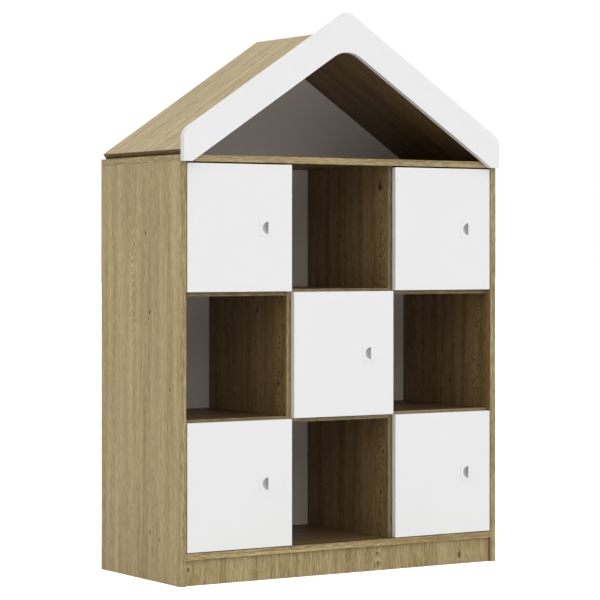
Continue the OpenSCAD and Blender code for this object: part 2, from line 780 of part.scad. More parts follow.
module hinge_arms() {
  color(steel_colour) for (d = doors) at_hinges(d) arm();
}

module plate_screws() {
  color(steel_colour) for (d = doors) at_hinges(d) plate_fixings(face_in(d));
}

// A round shape in a door's back, from depth low to depth high, on the cup's middle line
module cup_round(r, low, high) {
  translate([cup_in, high, 0]) rotate([90, 0, 0]) cylinder(r = r, h = high - low);
}

module wing_outline() {
  translate([cup_in + wing_in - wing_r, -wing_z]) square([2 * wing_r, 2 * wing_z]);
  for (s = [-1, 1]) translate([cup_in + wing_in, s * wing_z]) circle(r = wing_r);
}

module cup() {
  ear_high = pivot_back + ear_reach;
  difference() {
    union() {
      difference() {
        union() {
          cup_round(cup_r, cup_skin, door_t);
          cup_round(flange_r, door_t, door_t + flange_t);
          translate([0, door_t + flange_t, 0]) rotate([90, 0, 0]) linear_extrude(flange_t) wing_outline();
        }
        cup_round(cup_r - cup_wall, cup_skin + cup_floor, door_t + flange_t + over);
      }
      intersection() {
        cup_round(cup_r, cup_skin, ear_high);
        for (s = [-1, 1]) block([cup_edge, cup_skin, s > 0 ? pin_half - ear_t : -pin_half],
          [pivot_in + ear_reach, ear_high, s > 0 ? pin_half : ear_t - pin_half]);
      }
    }
    upright(pin_half + fastener_play) translate([pivot_in, pivot_back]) circle(r = pin_r + fastener_play);
    at_wings() translate([0, door_t + flange_t + over, 0]) rotate([90, 0, 0])
      cylinder(r = wood_screw_r + 2 * fastener_play, h = flange_t + 2 * over);
  }
}

module cup_screw(play = 0) {
  translate([0, door_t + flange_t, 0]) rotate([90, 0, 0])
    cylinder(r = wood_screw_r + play, h = wood_screw_l + play);
}

module at_wings() {
  for (s = [-1, 1]) translate([cup_in + wing_in, 0, s * wing_z]) children();
}

module hinge_cups(d) {
  color(steel_colour) at_hinges(d) cup();
}

module hinge_pins(d) {
  color(steel_colour) at_hinges(d) upright(pin_half)
    translate([pivot_in, pivot_back]) circle(r = pin_r);
}

module cup_screws(d) {
  color(zinc_colour) at_hinges(d) at_wings() {
    cup_screw();
    translate([0, door_t + flange_t + wood_head_h, 0]) rotate([90, 0, 0])
      cylinder(r = wood_head_r, h = wood_head_h);
  }
}

// ---- doors ----

module at_pull(d) {
  translate([door_x(d) + door_w(d) - pull_in, front_y, door_z(d) + door_h / 2]) children();
}

module door_board(d) {
  x = door_x(d);
  z = door_z(d);
  color(white_colour) difference() {
    block([x, front_y, z], [x + door_w(d), front_y + door_t, z + door_h]);
    at_hinges(d) {
      cup_round(cup_r + fastener_play, cup_skin - fastener_play, door_t + over);
      at_wings() cup_screw(fastener_play);
    }
    at_pull(d) translate([0, pull_depth + fastener_play, 0]) rotate([90, 0, 0])
      cylinder(r = pull_r + fastener_play, h = pull_depth + fastener_play + over);
  }
}

// The rounded square outline of a pull's face plate
module pull_outline() {
  straight = pull_side / 2 - pull_corner_r;
  translate([-cup_aside, 0]) {
    square([pull_side, 2 * straight], center = true);
    square([2 * straight, pull_side], center = true);
    for (x = [-straight, straight], z = [-straight, straight])
      translate([x, z]) circle(r = pull_corner_r);
  }
}

// A pull with its face plate on the door, a half-moon mouth to the left and a scooped bowl
// behind its lip
module pull(d) {
  lip_back = lip_t - pull_proud;
  color(white_colour) at_pull(d) difference() {
    union() {
      rotate([90, 0, 0]) linear_extrude(pull_proud) pull_outline();
      translate([0, pull_depth, 0]) rotate([90, 0, 0]) cylinder(r = pull_r, h = pull_depth, $fn = 96);
    }
    intersection() {
      translate([0, bowl_depth - bowl_r, 0]) sphere(r = bowl_r, $fn = 96);
      block([-pull_r, lip_back, -pull_r], [pull_r, pull_depth, pull_r]);
    }
    intersection() {
      translate([0, lip_back + over, 0]) rotate([90, 0, 0])
        cylinder(r = mouth_r, h = lip_t + 2 * over, $fn = 96);
      block([-pull_r, -pull_proud - over, -pull_r], [mouth_flat, lip_back + over, pull_r]);
    }
  }
}

// Bumpers sit where the door laps over a shelf: at its upper edge, its lower edge or both
module bumpers(d) {
  w = door_w(d);
  low = bumper_in;
  high = door_h - bumper_in;
  free = w - bumper_edge_in;
  places = d[1] == 0 ? [[w / 2, high], [free, high]]
    : d[1] == rows - 1 ? [[w / 2, low], [free, low]]
    : [[free, low], [free, high]];
  color(rubber_colour) for (p = places)
    translate([door_x(d) + p[0], front_y + door_t + door_back_gap - bumper_gap, door_z(d) + p[1]])
      rotate([90, 0, 0]) cylinder(r = bumper_r, h = door_back_gap - bumper_gap);
}

side_panel(-1);  // left_side_panel
side_panel(1);  // right_side_panel
top_board();
bottom_board();
plinth(plinth_ys[0]);  // front_plinth
plinth(plinth_ys[1]);  // rear_plinth
divider(-1);  // left_divider
divider(1);  // right_divider
shelf(-1, shelf_zs[0]);  // lower_left_shelf
shelf(0, shelf_zs[0]);  // lower_centre_shelf
shelf(1, shelf_zs[0]);  // lower_right_shelf
shelf(-1, shelf_zs[1]);  // upper_left_shelf
shelf(0, shelf_zs[1]);  // upper_centre_shelf
shelf(1, shelf_zs[1]);  // upper_right_shelf
back_panel(-1);  // left_back_panel
back_panel(0);  // centre_back_panel
back_panel(1);  // right_back_panel
gable_back_panel();
roof_panel(-1);  // left_roof_panel
roof_panel(1);  // right_roof_panel
gable_fascia();
cam_locks();
cam_bolts();
double_cam_bolts();
dowels();
base_screws();
back_nails();
hinge_plates();
hinge_arms();
plate_screws();
door_board(top_left);  // top_left_door
pull(top_left);  // top_left_pull
hinge_cups(top_left);  // top_left_hinge_cups
hinge_pins(top_left);  // top_left_hinge_pins
cup_screws(top_left);  // top_left_cup_screws
bumpers(top_left);  // top_left_bumpers
door_board(top_right);  // top_right_door
pull(top_right);  // top_right_pull
hinge_cups(top_right);  // top_right_hinge_cups
hinge_pins(top_right);  // top_right_hinge_pins
cup_screws(top_right);  // top_right_cup_screws
bumpers(top_right);  // top_right_bumpers
door_board(centre);  // centre_door
pull(centre);  // centre_pull
hinge_cups(centre);  // centre_hinge_cups
hinge_pins(centre);  // centre_hinge_pins
cup_screws(centre);  // centre_cup_screws
bumpers(centre);  // centre_bumpers
door_board(bottom_left);  // bottom_left_door
pull(bottom_left);  // bottom_left_pull
hinge_cups(bottom_left);  // bottom_left_hinge_cups
hinge_pins(bottom_left);  // bottom_left_hinge_pins
cup_screws(bottom_left);  // bottom_left_cup_screws
bumpers(bottom_left);  // bottom_left_bumpers
door_board(bottom_right);  // bottom_right_door
pull(bottom_right);  // bottom_right_pull
hinge_cups(bottom_right);  // bottom_right_hinge_cups
hinge_pins(bottom_right);  // bottom_right_hinge_pins
cup_screws(bottom_right);  // bottom_right_cup_screws
bumpers(bottom_right);  // bottom_right_bumpers
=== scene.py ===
# %% [markdown]
# # A house shaped bookcase
# The bookcase is flat-pack furniture: 18 mm chipboard in an oak-look skin, five white doors
# on concealed hinges, and a small pitched roof with a white gable. Its construction comes
# ready made as a fixed frame of named nodes. This lesson gives each node the finish and the
# fine shape that the real one has: softened arrises, edge strips, raw chipboard in the bores,
# plated hinges, moulded pulls. Nothing here moves or resizes a node.

# %% Load the fixed frame
import json
import math

import bmesh
import bpy
from mathutils import Matrix


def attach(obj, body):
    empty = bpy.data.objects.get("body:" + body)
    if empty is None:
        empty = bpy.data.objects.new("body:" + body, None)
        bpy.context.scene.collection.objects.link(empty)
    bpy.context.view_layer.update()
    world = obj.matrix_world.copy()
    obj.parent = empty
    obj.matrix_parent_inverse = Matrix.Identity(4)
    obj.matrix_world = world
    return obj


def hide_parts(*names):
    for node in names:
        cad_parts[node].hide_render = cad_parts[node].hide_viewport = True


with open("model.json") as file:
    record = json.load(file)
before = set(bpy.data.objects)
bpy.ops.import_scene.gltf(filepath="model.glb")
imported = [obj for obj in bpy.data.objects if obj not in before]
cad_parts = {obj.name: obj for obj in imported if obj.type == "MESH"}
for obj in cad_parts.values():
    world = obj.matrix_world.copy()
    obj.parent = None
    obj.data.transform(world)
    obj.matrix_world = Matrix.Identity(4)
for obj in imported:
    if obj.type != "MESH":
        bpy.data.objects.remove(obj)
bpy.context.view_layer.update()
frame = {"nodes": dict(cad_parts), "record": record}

# %% [markdown]
# ## The camera
# A product photo is taken from well back, with a long lens and a level camera, so that the
# side panels stay upright in the picture. A camera tipped down would show the whole piece
# too, but the panels would lean. A level one needs a vertical shift instead, which cuts the
# picture a little below the horizon. The numbers come from the photo's perspective, by the
# points where the cabinet's long edges meet when they are drawn on. The focal length is in
# pixels of the 600 pixel picture, and the horizon's height is counted from its top.

# %% Set up the camera
PICTURE = 600
FAR_CLIP = 200.0
FOCAL_PX = 2457.85
HORIZON_PX = 252.52
SENSOR_MM = 36.0
CAMERA_AT = (-3.7857, -5.9422, 0.8967)
CAMERA_TURN = math.radians(-32.44)


def make_camera():
    lens = bpy.data.cameras.new("product_camera")
    lens.sensor_width = SENSOR_MM
    lens.lens = FOCAL_PX / PICTURE * SENSOR_MM
    lens.shift_y = (HORIZON_PX - PICTURE / 2) / PICTURE
    lens.clip_end = FAR_CLIP
    camera = bpy.data.objects.new("product_camera", lens)
    camera.location = CAMERA_AT
    # A new camera looks straight down, so it is tipped up by a right angle first
    camera.rotation_euler = (math.radians(90), 0, CAMERA_TURN)
    bpy.context.scene.collection.objects.link(camera)
    bpy.context.scene.camera = camera
    return camera


camera = make_camera()
print("lens:", round(camera.data.lens, 2), "mm, shift:", round(camera.data.shift_y, 4))

# %% [markdown]
# ## A few words for node trees
# A material is a small network. These helpers keep each link on one line: `add` makes a node
# and fills its sockets, `calc` does arithmetic, `remap` turns one range of values into
# another, `noise` is a cloudy pattern that may be stretched, and `blend_colour` mixes two
# colours. Inputs may be plain values or the outputs of other nodes.

# %% Helpers for node trees
def add(tree, kind, inputs=None, **settings):
    """A new node, with its settings made and its sockets linked or filled."""
    node = tree.nodes.new("ShaderNode" + kind)
    for key, value in settings.items():
        setattr(node, key, value)
    for key, value in (inputs or {}).items():
        if isinstance(value, bpy.types.NodeSocket):
            tree.links.new(value, node.inputs[key])
        else:
            node.inputs[key].default_value = value
    return node


def calc(tree, operation, *values):
    return add(tree, "Math", dict(enumerate(values)), operation=operation).outputs[0]


def blend_colour(tree, share, first, second, mode="MIX"):
    mixer = add(tree, "Mix", data_type="RGBA", blend_type=mode)
    # A Mix node also has sockets for numbers and vectors. These are its share and its colours.
    for index, value in ((0, share), (6, first), (7, second)):
        if isinstance(value, bpy.types.NodeSocket):
            tree.links.new(value, mixer.inputs[index])
        else:
            mixer.inputs[index].default_value = value
    return mixer.outputs[2]


def remap(tree, value, low, high, to_low=0.0, to_high=1.0, smooth=False):
    inputs = {0: value, 1: low, 2: high, 3: to_low, 4: to_high}
    kind = "SMOOTHSTEP" if smooth else "LINEAR"
    return add(tree, "MapRange", inputs, interpolation_type=kind).outputs[0]


def stretched(tree, vector, scale):
    """A vector with each of its parts multiplied by its own scale."""
    inputs = {0: vector, 1: scale}
    return add(tree, "VectorMath", inputs, operation="MULTIPLY").outputs[0]


def noise(tree, vector, scale, detail=2.0, roughness=0.5):
    inputs = {"Vector": stretched(tree, vector, scale), "Scale": 1.0,
              "Detail": detail, "Roughness": roughness}
    return add(tree, "TexNoise", inputs).outputs[0]


def rgb(red, green, blue):
    """A colour as it looks on a screen, from 0 to 255, as the linear values a shader wants."""
    def linear(value):
        value = value / 255
        return value / 12.92 if value <= 0.04045 else ((value + 0.055) / 1.055) ** 2.4
    return (linear(red), linear(green), linear(blue), 1.0)


def new_material(name):
    material = bpy.data.materials.new(name)
    material.use_nodes = True
    tree = material.node_tree
    return material, tree, tree.nodes["Principled BSDF"]


WHITE = (1.0, 1.0, 1.0, 1.0)
print("helpers ready, mid grey is", [round(part, 3) for part in rgb(128, 128, 128)])

# %% [markdown]
# ## Soft studio light
# The photo shows a white room: light comes from everywhere, more from above and from the
# front. Only the level strip of the room straight in front of the bookcase is dim, so
# little light reaches the depths of the compartments. Lamps would need many sizes and places
# to do this. The world does it alone, with a brightness that depends on the direction. The
# camera and reflections see plain white.

# %% Light the room
# Brightness from every side, and what the room adds towards +X, the rear and above. The
# minus takes it from the rear and gives it to the front.
LIGHT_EVEN = 0.74
LIGHT_LEANS = (0.06, -0.65, 0.55)
# Direction of the middle of the dim side
DIM_SIDE = (-0.20, -0.98, 0.0)
# Share of the light that the dim side lacks
DIM_SHARE = 0.90
# Cosine of the angle from the dim side where the dimming starts, and where it is full
DIM_AHEAD = (0.66, 0.90)
# Height of a direction up to which the dimming is full, and where it ends
DIM_HEIGHT = (0.16, 0.40)


def light_room():
    world = bpy.data.worlds.new("studio")
    bpy.context.scene.world = world
    world.use_nodes = True
    tree = world.node_tree
    background = tree.nodes["Background"]
    direction = add(tree, "TexCoord").outputs["Generated"]
    lean = add(tree, "VectorMath", {0: direction, 1: LIGHT_LEANS}, operation="DOT_PRODUCT")
    glow = calc(tree, "ADD", lean.outputs["Value"], LIGHT_EVEN)
    facing = add(tree, "VectorMath", {0: direction, 1: DIM_SIDE}, operation="DOT_PRODUCT")
    ahead = remap(tree, facing.outputs["Value"], *DIM_AHEAD, smooth=True)
    height = calc(tree, "ABSOLUTE", add(tree, "SeparateXYZ", {0: direction}).outputs[2])
    level = remap(tree, height, *DIM_HEIGHT, 1.0, 0.0, smooth=True)
    dim = calc(tree, "MULTIPLY", calc(tree, "MULTIPLY", ahead, level), DIM_SHARE)
    glow = calc(tree, "MULTIPLY", glow, calc(tree, "SUBTRACT", 1.0, dim))
    ray = add(tree, "LightPath").outputs
    seen = calc(tree, "MAXIMUM", ray["Is Camera Ray"], ray["Is Transmission Ray"])
    seen = calc(tree, "MAXIMUM", seen, ray["Is Glossy Ray"])
    strength = calc(tree, "MAXIMUM", glow, seen)
    tree.links.new(strength, background.inputs["Strength"])
    background.inputs["Color"].default_value = WHITE


light_room()
bpy.context.scene.view_settings.view_transform = "Standard"
print("even light:", LIGHT_EVEN, "leans:", LIGHT_LEANS)

# %% [markdown]
# ## The floor
# The floor is a wide white sheet. It bounces light onto the plinth and takes a faint shadow.
# More light on it would burn out the white doors too. So the sheet glows for camera rays
# only, and runs into the white behind it with no line.

# %% Lay the floor
FLOOR_HALF = 60.0
FLOOR_GLOW = 0.80
FLOOR_WHITE = rgb(226, 226, 226)
FLOOR_ROUGHNESS = 0.9
# The sheet lies a little lower than the feet, so that no two faces share a plane
FLOOR_DEPTH = 0.0005


def lay_floor():
    shape = bmesh.new()
    bmesh.ops.create_grid(shape, x_segments=1, y_segments=1, size=FLOOR_HALF)
    bmesh.ops.translate(shape, verts=shape.verts, vec=(0, 0, -FLOOR_DEPTH))
    mesh = bpy.data.meshes.new("floor")
    shape.to_mesh(mesh)
    shape.free()
    floor = bpy.data.objects.new("floor", mesh)
    bpy.context.scene.collection.objects.link(floor)
    material, tree, shader = new_material("white_sheet")
    shader.inputs["Base Color"].default_value = FLOOR_WHITE
    shader.inputs["Roughness"].default_value = FLOOR_ROUGHNESS
    shader.inputs["Specular IOR Level"].default_value = 0.0
    glow = calc(tree, "MULTIPLY", add(tree, "LightPath").outputs["Is Camera Ray"], FLOOR_GLOW)
    shader.inputs["Emission Color"].default_value = WHITE
    tree.links.new(glow, shader.inputs["Emission Strength"])
    mesh.materials.append(material)


lay_floor()
print("floor is", 2 * FLOOR_HALF, "m wide")

# %% [markdown]
# ## Oak-look melamine
# The boards are not veneered: their skin is a printed paper under clear resin. The print shows
# a plain-sawn oak board. Most of it is fine straight streaks in soft bands, with dark pores
# over them. Where the saw passed near the heart of the log, the growth rings come to the face
# as a column of flame shapes: pale curves like a stack of U, each a parabola, because the
# saw cuts the rings at a slant. A picture of a board would stretch or repeat, so the pattern
# is worked out by nodes, in the board's own grain space: x runs along the grain, y across it
# and z through the board.

# %% Noise layers of the print
# Each has its scale along, across and through the grain, its detail and roughness, and the
# strength with which it pushes the tone either way
STREAK = ((5.5, 480.0, 480.0), 4.0, 0.72, 2.1)
DASH = ((30.0, 620.0, 620.0), 2.0, 0.6, 2.5)
BAND = ((1.1, 30.0, 30.0), 3.0, 0.6, 1.6)
# These two push the lines of the flame figure, in metres
FLAME_SWAY = ((5.0, 24.0, 24.0), 2.0, 0.5, 0.030)
FLAME_WOBBLE = ((11.0, 60.0, 60.0), 3.0, 0.5, 0.100)
# And these are used as they are, with no strength
FLAME_GAPS = ((10.0, 40.0, 40.0), 2.0)
PORES = ((80.0, 1100.0, 1100.0), 2.0, 0.6)


def layer(group, grain, scale, detail, roughness, strength):
    """Noise that pushes either way, up to about half its strength."""
    value = noise(group, grain, scale, detail, roughness)
    return calc(group, "MULTIPLY_ADD", value, strength, -0.5 * strength)


# %% The flame figure
# Distance between two lines, and how strongly their parabola bends
FLAME_PITCH = 0.028
FLAME_BEND = 130.0
# Half width and half length of the column, first where it is full and then where it ends
FLAME_WIDTH = (0.012, 0.032)
FLAME_LENGTH = (0.10, 0.24)
# Parts of the pitch over which a line rises and falls
LINE_RISE = (0.0, 0.16)
LINE_FALL = (0.20, 0.55)
# Noise values between which a line comes back after a gap
GAP_EDGE = (0.36, 0.58)


def make_flame(group, grain, heart):
    """How far each point is part of a pale flame line, and of the flame's darker ground."""
    from_heart = add(group, "VectorMath", {0: grain, 1: heart}, operation="SUBTRACT")
    along, across, _ = add(group, "SeparateXYZ", {0: from_heart.outputs[0]}).outputs
    side = calc(group, "ADD", across, layer(group, grain, *FLAME_SWAY))
    curve = calc(group, "MULTIPLY", calc(group, "MULTIPLY", side, side), FLAME_BEND)
    reach = calc(group, "SUBTRACT", along, curve)
    reach = calc(group, "ADD", reach, layer(group, grain, *FLAME_WOBBLE))
    ring = calc(group, "FRACT", calc(group, "DIVIDE", reach, FLAME_PITCH))
    rise = remap(group, ring, *LINE_RISE, smooth=True)
    fall = remap(group, ring, *LINE_FALL, 1.0, 0.0, smooth=True)
    off_middle = calc(group, "ABSOLUTE", side)
    off_heart = calc(group, "ABSOLUTE", along)
    wide = remap(group, off_middle, *FLAME_WIDTH, 1.0, 0.0, smooth=True)
    tall = remap(group, off_heart, *FLAME_LENGTH, 1.0, 0.0, smooth=True)
    whole = remap(group, noise(group, grain, *FLAME_GAPS), *GAP_EDGE)
    ground = calc(group, "MULTIPLY", wide, tall)
    line = calc(group, "MULTIPLY", calc(group, "MULTIPLY", rise, fall), whole)
    return calc(group, "MULTIPLY", line, ground), ground


# %% One node group that all oak materials share
OAK_LIGHT = rgb(197, 179, 134)
OAK_MID = rgb(174, 155, 109)
OAK_DARK = rgb(140, 120, 78)
OAK_PORE = rgb(110, 88, 52)
# How much a flame line and its ground add to the tone. Low tones are light, high ones dark.
LINE_TONE = -1.0
GROUND_TONE = 0.10
LIGHT_TONES = (0.05, 0.50)
DARK_TONES = (0.50, 1.00)
PORE_EDGE = (0.56, 0.70)
PORE_SHARE = 0.55


def make_oak_print():
    group = bpy.data.node_groups.new("oak_print", "ShaderNodeTree")
    for name, kind in (("Grain", "Vector"), ("Heart", "Vector"), ("Contrast", "Float")):
        group.interface.new_socket(name, in_out="INPUT", socket_type="NodeSocket" + kind)
    for name, kind in (("Color", "Color"), ("Pores", "Float")):
        group.interface.new_socket(name, in_out="OUTPUT", socket_type="NodeSocket" + kind)
    given = group.nodes.new("NodeGroupInput").outputs
    grain = given["Grain"]
    line, ground = make_flame(group, grain, given["Heart"])
    tone = layer(group, grain, *STREAK)
    tone = calc(group, "ADD", tone, layer(group, grain, *DASH))
    tone = calc(group, "ADD", tone, layer(group, grain, *BAND))
    tone = calc(group, "MULTIPLY_ADD", line, LINE_TONE, tone)
    tone = calc(group, "MULTIPLY_ADD", ground, GROUND_TONE, tone)
    tone = calc(group, "MULTIPLY_ADD", tone, given["Contrast"], 0.5)
    light = remap(group, tone, *LIGHT_TONES)
    dark = remap(group, tone, *DARK_TONES)
    colour = blend_colour(group, light, OAK_LIGHT, OAK_MID)
    colour = blend_colour(group, dark, colour, OAK_DARK)
    pores = remap(group, noise(group, grain, *PORES), *PORE_EDGE, smooth=True)
    colour = blend_colour(group, calc(group, "MULTIPLY", pores, PORE_SHARE), colour, OAK_PORE)
    out = group.nodes.new("NodeGroupOutput").inputs
    group.links.new(colour, out["Color"])
    group.links.new(pores, out["Pores"])
    return group


oak_print = make_oak_print()
print("the oak print uses", len(oak_print.nodes), "nodes")

# %% [markdown]
# ### Grain space and knots
# A knot is where a branch left the log. The fibres part round it, and its core is dark. Each
# board gets its own few knots, each a place along and across the grain and a radius, where
# the photo shows the clearest ones. The grain is pushed sideways near a knot before the print
# is looked up, and the core is mixed in after. Painting them on a picture would be quicker,
# but the picture would have to be kept with the script.

# %% Grain space
AXES = {"x": 0, "y": 1, "z": 2}


def grain_space(tree, along, across, turn=0.0):
    """Object coordinates with the grain turned to x. turn tips them about Y first."""
    place = add(tree, "TexCoord").outputs["Object"]
    if turn:
        place = add(tree, "Mapping", {"Vector": place, "Rotation": (0, turn, 0)}).outputs[0]
    parts = add(tree, "SeparateXYZ", {0: place}).outputs
    through = ({"x", "y", "z"} - {along, across}).pop()
    inputs = {i: parts[AXES[axis]] for i, axis in enumerate((along, across, through))}
    return add(tree, "CombineXYZ", inputs).outputs[0]


print("grain space has the grain along x")

# %% Knots
KNOT_CORE = rgb(80, 58, 32)
KNOT_STRENGTH = 0.88
# A knot looks longer along the grain, by one over this
KNOT_SQUEEZE = 0.6
# Its edge is ragged: the scale of the noise, how far it pushes, and where the core fades out
KNOT_GRAIN = (300.0, 520.0, 0.0)
KNOT_RAGGED = 3.0
KNOT_EDGE = (0.60, 1.25)
# The fibres are pushed by the first number of radii at the knot's middle, and by nothing at
# the second number of radii from it
KNOT_PUSH = 1.4
KNOT_REACH = 5.0


def knot_fields(tree, grain, knots):
    """The grain pushed aside round each knot, and how dark each point is for being a knot."""
    cores = None
    rough = noise(tree, grain, KNOT_GRAIN, detail=3.0) if knots else None
    for at_along, at_across, radius in knots:
        centre = (at_along, at_across, 0)
        away = add(tree, "VectorMath", {0: grain, 1: centre}, operation="SUBTRACT").outputs[0]
        away = stretched(tree, away, (KNOT_SQUEEZE / radius, 1 / radius, 0))
        reach = add(tree, "VectorMath", {0: away}, operation="LENGTH").outputs["Value"]
        uneven = calc(tree, "MULTIPLY_ADD", rough, KNOT_RAGGED, -0.5 * KNOT_RAGGED)
        ragged = calc(tree, "ADD", reach, uneven)
        core = remap(tree, ragged, *KNOT_EDGE, 1.0, 0.0, smooth=True)
        cores = core if cores is None else calc(tree, "MAXIMUM", cores, core)
        push = remap(tree, reach, 0.0, KNOT_REACH, KNOT_PUSH * radius, 0.0, smooth=True)
        # Which side of the knot a point is on: -1 to 1, held at these beyond its edge
        aside = add(tree, "SeparateXYZ", {0: away}).outputs[1]
        aside = remap(tree, aside, -1.0, 1.0, -1.0, 1.0)
        shove = add(tree, "CombineXYZ", {1: calc(tree, "MULTIPLY", aside, push)}).outputs[0]
        grain = add(tree, "VectorMath", {0: grain, 1: shove}, operation="SUBTRACT").outputs[0]
    return grain, cores


print("a knot's core has a strength of", KNOT_STRENGTH)

# %% Oak for one board
# A heart this far off a board leaves it without a flame
NO_FLAME = (9.0, 9.0, 0.0)
# Roughness between the pores and in them
OAK_ROUGHNESS = (0.46, 0.62)
OAK_GLOSS = 0.30
PORE_DEPTH = 0.00006
PORE_BUMP = 0.6


def oak(name, along, across, heart=NO_FLAME, knots=(), turn=0.0, shade=WHITE, contrast=1.0):
    """Oak-look melamine. Its grain runs along one axis of the object and lies flat across
    another, heart is the middle of the flame figure, in grain space, and shade is a colour
    that the print is multiplied by."""
    material, tree, shader = new_material(name)
    grain = grain_space(tree, along, across, turn)
    grain, cores = knot_fields(tree, grain, knots)
    look = tree.nodes.new("ShaderNodeGroup")
    look.node_tree = oak_print
    tree.links.new(grain, look.inputs["Grain"])
    look.inputs["Heart"].default_value = heart
    look.inputs["Contrast"].default_value = contrast
    colour = look.outputs["Color"]
    if cores:
        share = calc(tree, "MULTIPLY", cores, KNOT_STRENGTH)
        colour = blend_colour(tree, share, colour, KNOT_CORE)
    if shade != WHITE:
        colour = blend_colour(tree, 1.0, colour, shade, "MULTIPLY")
    tree.links.new(colour, shader.inputs["Base Color"])
    dull = remap(tree, look.outputs["Pores"], 0.0, 1.0, *OAK_ROUGHNESS)
    tree.links.new(dull, shader.inputs["Roughness"])
    shader.inputs["Specular IOR Level"].default_value = OAK_GLOSS
    height = calc(tree, "MULTIPLY", look.outputs["Pores"], -1.0)
    inputs = {"Height": height, "Distance": PORE_DEPTH, "Strength": PORE_BUMP}
    tree.links.new(add(tree, "Bump", inputs).outputs[0], shader.inputs["Normal"])
    return material


print("oak is made by oak(name, along, across)")

# %% [markdown]
# ## White finishes
# The white boards have the same kind of skin as the oak ones, but the press leaves a faint pearl
# texture in it. The pulls are moulded plastic, smooth in front and duller inside, where their
# white is greyed as painted shade. One recipe makes them all: two near shades in soft clouds, so
# that no face is dead even, and a noise that drives both the bump and the roughness.

# %% White melamine and moulded plastic
CLOUD_SCALE = (6.0, 6.0, 6.0)
# Most values of the pressed noise lie between these, and the roughness spreads over them
TEXTURE_RANGE = (0.3, 0.7)
TEXTURE_BUMP = 0.5
PALE_SPREAD = 0.04
PALE_GLOSS = 0.4


def smooth_finish(name, colour, second, roughness, texture, depth):
    """A pale even finish. texture is the scale of the noise pressed into it, by a depth."""
    material, tree, shader = new_material(name)
    place = add(tree, "TexCoord").outputs["Object"]
    clouds = noise(tree, place, CLOUD_SCALE, detail=3.0)
    tree.links.new(blend_colour(tree, clouds, colour, second), shader.inputs["Base Color"])
    grainy = noise(tree, place, (texture, texture, texture))
    inputs = {"Height": grainy, "Distance": depth, "Strength": TEXTURE_BUMP}
    tree.links.new(add(tree, "Bump", inputs).outputs[0], shader.inputs["Normal"])
    ends = (roughness - PALE_SPREAD, roughness + PALE_SPREAD)
    uneven = remap(tree, grainy, *TEXTURE_RANGE, *ends)
    tree.links.new(uneven, shader.inputs["Roughness"])
    shader.inputs["Specular IOR Level"].default_value = PALE_GLOSS
    return material


white_melamine = smooth_finish(
    "white_melamine", rgb(238, 238, 238), rgb(236, 236, 236),
    roughness=0.42, texture=900.0, depth=0.00003)
white_strip = smooth_finish(
    "white_edge_strip", rgb(232, 229, 227), rgb(229, 226, 224),
    roughness=0.38, texture=500.0, depth=0.00002)
# Painted shade and painted warm bounce light from the oak walls: the back panels' white is
# darker and warmer than the doors'
back_white_painted_shade = smooth_finish(
    "white_back_paint", rgb(221, 212, 203), rgb(217, 208, 199),
    roughness=0.55, texture=1100.0, depth=0.00002)
# Painted light: the gable back panel's front face lies in the roof's shade, and its white is
# warmer and raised against that shade
gable_white_painted_light = smooth_finish(
    "white_gable_face", rgb(243, 234, 226), rgb(240, 231, 223),
    roughness=0.50, texture=1100.0, depth=0.00002)
pull_plastic = smooth_finish(
    "pull_plastic", rgb(238, 238, 239), rgb(236, 236, 237),
    roughness=0.30, texture=1600.0, depth=0.00001)
# Painted shade: the pocket's white is greyed
pull_inside_painted_shade = smooth_finish(
    "pull_inside_painted_shade", rgb(214, 214, 214), rgb(209, 209, 209),
    roughness=0.50, texture=1600.0, depth=0.00002)
print("board whites:", white_melamine.name, white_strip.name, back_white_painted_shade.name, gable_white_painted_light.name)
print("pull whites:", pull_plastic.name, pull_inside_painted_shade.name)

# %% [markdown]
# ## Raw board
# Chipboard shows wherever a bore or groove cuts through the skin: pressed chips, each with a
# shade of its own, which is what the cells of a Voronoi texture have. They are written
# darker than fresh board, because hardly any light comes back out of a narrow bore. The back
# panels are hardboard: painted white in front, and behind brown, with short fibres, soft
# blotches and a few dark specks, one noise for each.

# %% Chipboard
CHIP_SCALE = 420.0
CHIP_PALE = rgb(40, 30, 19)
CHIP_DARK = rgb(17, 12, 7)
CHIP_ROUGHNESS = 0.85
CHIP_DEPTH = 0.0003
CHIP_BUMP = 0.8


def make_chipboard():
    material, tree, shader = new_material("chipboard_core")
    place = add(tree, "TexCoord").outputs["Object"]
    inputs = {"Vector": place, "Scale": CHIP_SCALE, "Randomness": 1.0}
    chips = add(tree, "TexVoronoi", inputs)
    shade = add(tree, "SeparateXYZ", {0: chips.outputs["Color"]}).outputs[0]
    colour = blend_colour(tree, shade, CHIP_PALE, CHIP_DARK)
    tree.links.new(colour, shader.inputs["Base Color"])
    shader.inputs["Roughness"].default_value = CHIP_ROUGHNESS
    inputs = {"Height": chips.outputs["Distance"], "Distance": CHIP_DEPTH,
              "Strength": CHIP_BUMP}
    tree.links.new(add(tree, "Bump", inputs).outputs[0], shader.inputs["Normal"])
    return material


chipboard = make_chipboard()

# %% Hardboard
FIBRE_SCALE = (160.0, 160.0, 420.0)
FIBRE_PALE = rgb(168, 130, 90)
FIBRE_DARK = rgb(128, 94, 62)
FIBRE_DEPTH = 0.0002
FIBRE_BUMP = 0.6
BLOTCH_SCALE = (5.0, 5.0, 9.0)
BLOTCH = rgb(120, 88, 58)
BLOTCH_SHARE = 0.4
SPECK_SCALE = (900.0, 900.0, 900.0)
SPECK = rgb(86, 60, 38)
SPECK_SHARE = 0.6
# Noise values between which fibres and blotches set in, and between which specks do
SOFT_EDGE = (0.35, 0.65)
SPECK_EDGE = (0.62, 0.70)
HARDBOARD_ROUGHNESS = 0.8


